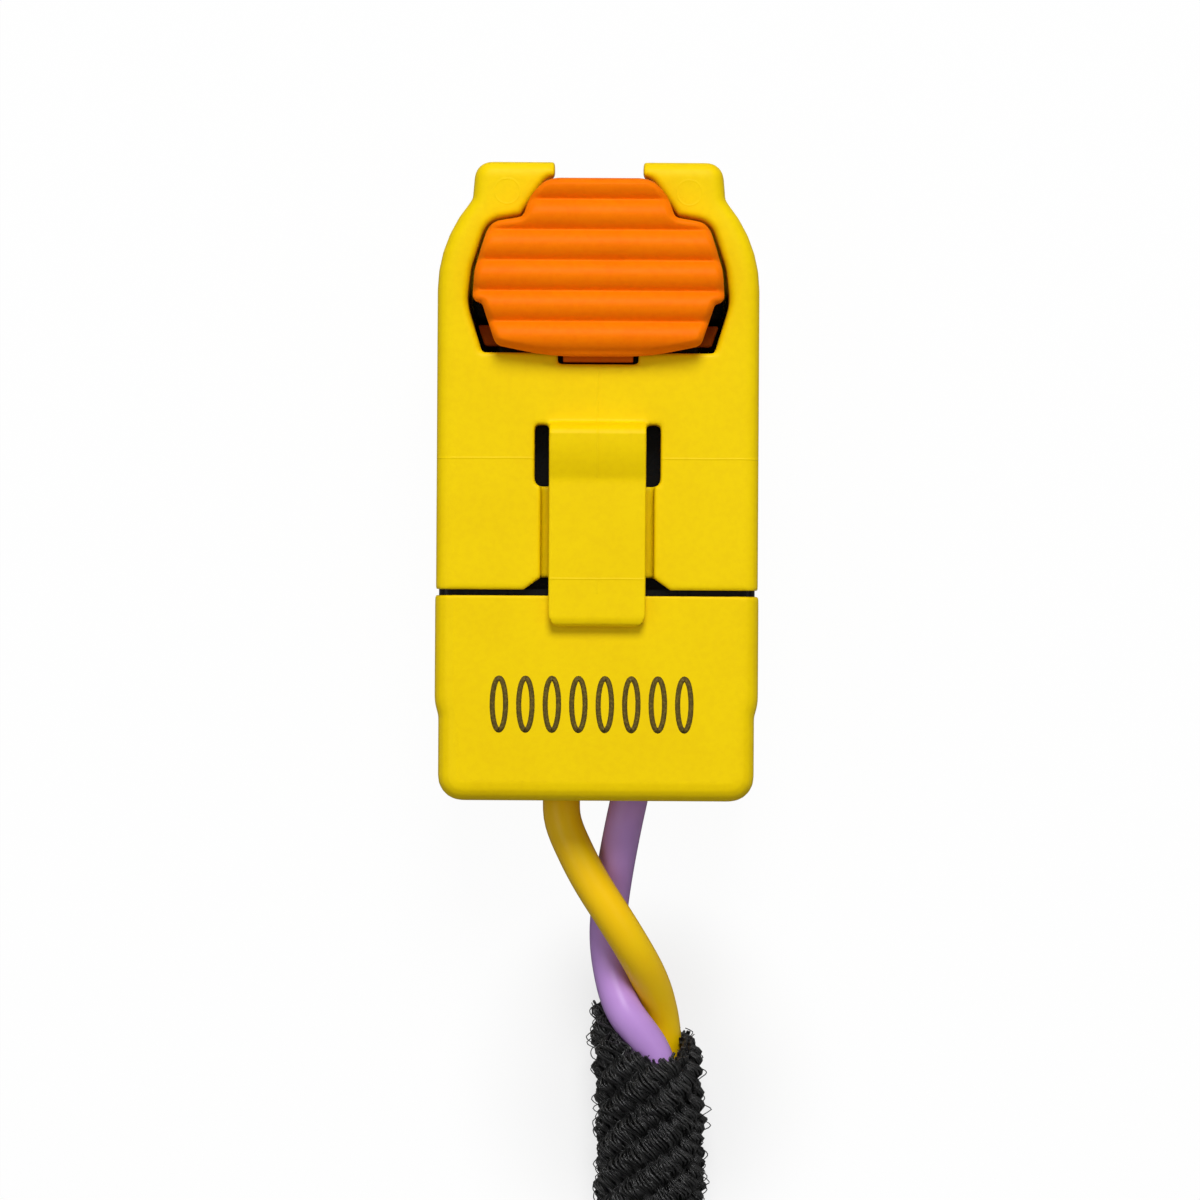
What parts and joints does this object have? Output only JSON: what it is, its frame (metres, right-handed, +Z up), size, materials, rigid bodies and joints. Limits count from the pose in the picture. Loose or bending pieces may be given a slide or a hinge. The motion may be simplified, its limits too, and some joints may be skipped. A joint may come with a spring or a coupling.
{
  "type": "two-way cable plug",
  "caption": "In-line cable plug with a latch strap, a ribbed push-in lock, a rear cap and a twisted pair in a braided sleeve.",
  "frame": {"origin": "on the surface under the middle of the plug, its pigtail left out", "axes": "+Z up out of the front face with the lock and the strap, +Y towards the mating end, +X to the right"},
  "size_m": [0.0661, 0.1182, 0.0131],
  "materials": {
    "yellow_shell": "fine moulded texture, satin",
    "orange_lock": "fine moulded texture, satin",
    "black_body": "gloss",
    "spring_steel": "rolled",
    "contact_brass": "tinned",
    "copper_strands": "bare copper strands",
    "yellow_insulation": "smooth, satin",
    "violet_insulation": "smooth, satin",
    "ferrite": "sintered, matt",
    "black_braid": "plaited textile yarn",
    "tie_nylon": "moulded"
  },
  "bodies": {
    "plug": {"outer_housing": "yellow_shell", "rear_cap": "yellow_shell", "inner_housing": "black_body", "shorting_clip": "spring_steel", "contact_left": "contact_brass", "contact_right": "contact_brass", "contact_spring_left": "spring_steel", "contact_spring_right": "spring_steel", "conductor_left": "copper_strands", "conductor_right": "copper_strands", "yellow_wire_end": "yellow_insulation", "violet_wire_end": "violet_insulation", "ferrite_core": "ferrite", "yellow_wire": "yellow_insulation", "violet_wire": "violet_insulation", "sleeve_lead": "black_braid", "sleeve_coil": "black_braid", "coil_tie": "tie_nylon", "yellow_tail": "yellow_insulation", "violet_tail": "violet_insulation", "yellow_strands": "copper_strands", "violet_strands": "copper_strands"},
    "lock": {"lock_slide": "orange_lock"},
    "retainer": {"front_retainer": "black_body"}
  },
  "joints": [
    {"name": "lock_lift", "type": "slide", "parent": "plug", "child": "lock", "axis": [0, 0, 1], "range_m": [0, 0.002]},
    {"name": "retainer_pull", "type": "slide", "parent": "plug", "child": "retainer", "axis": [0, 1, 0], "range_m": [0, 0.0008]}
  ]
}
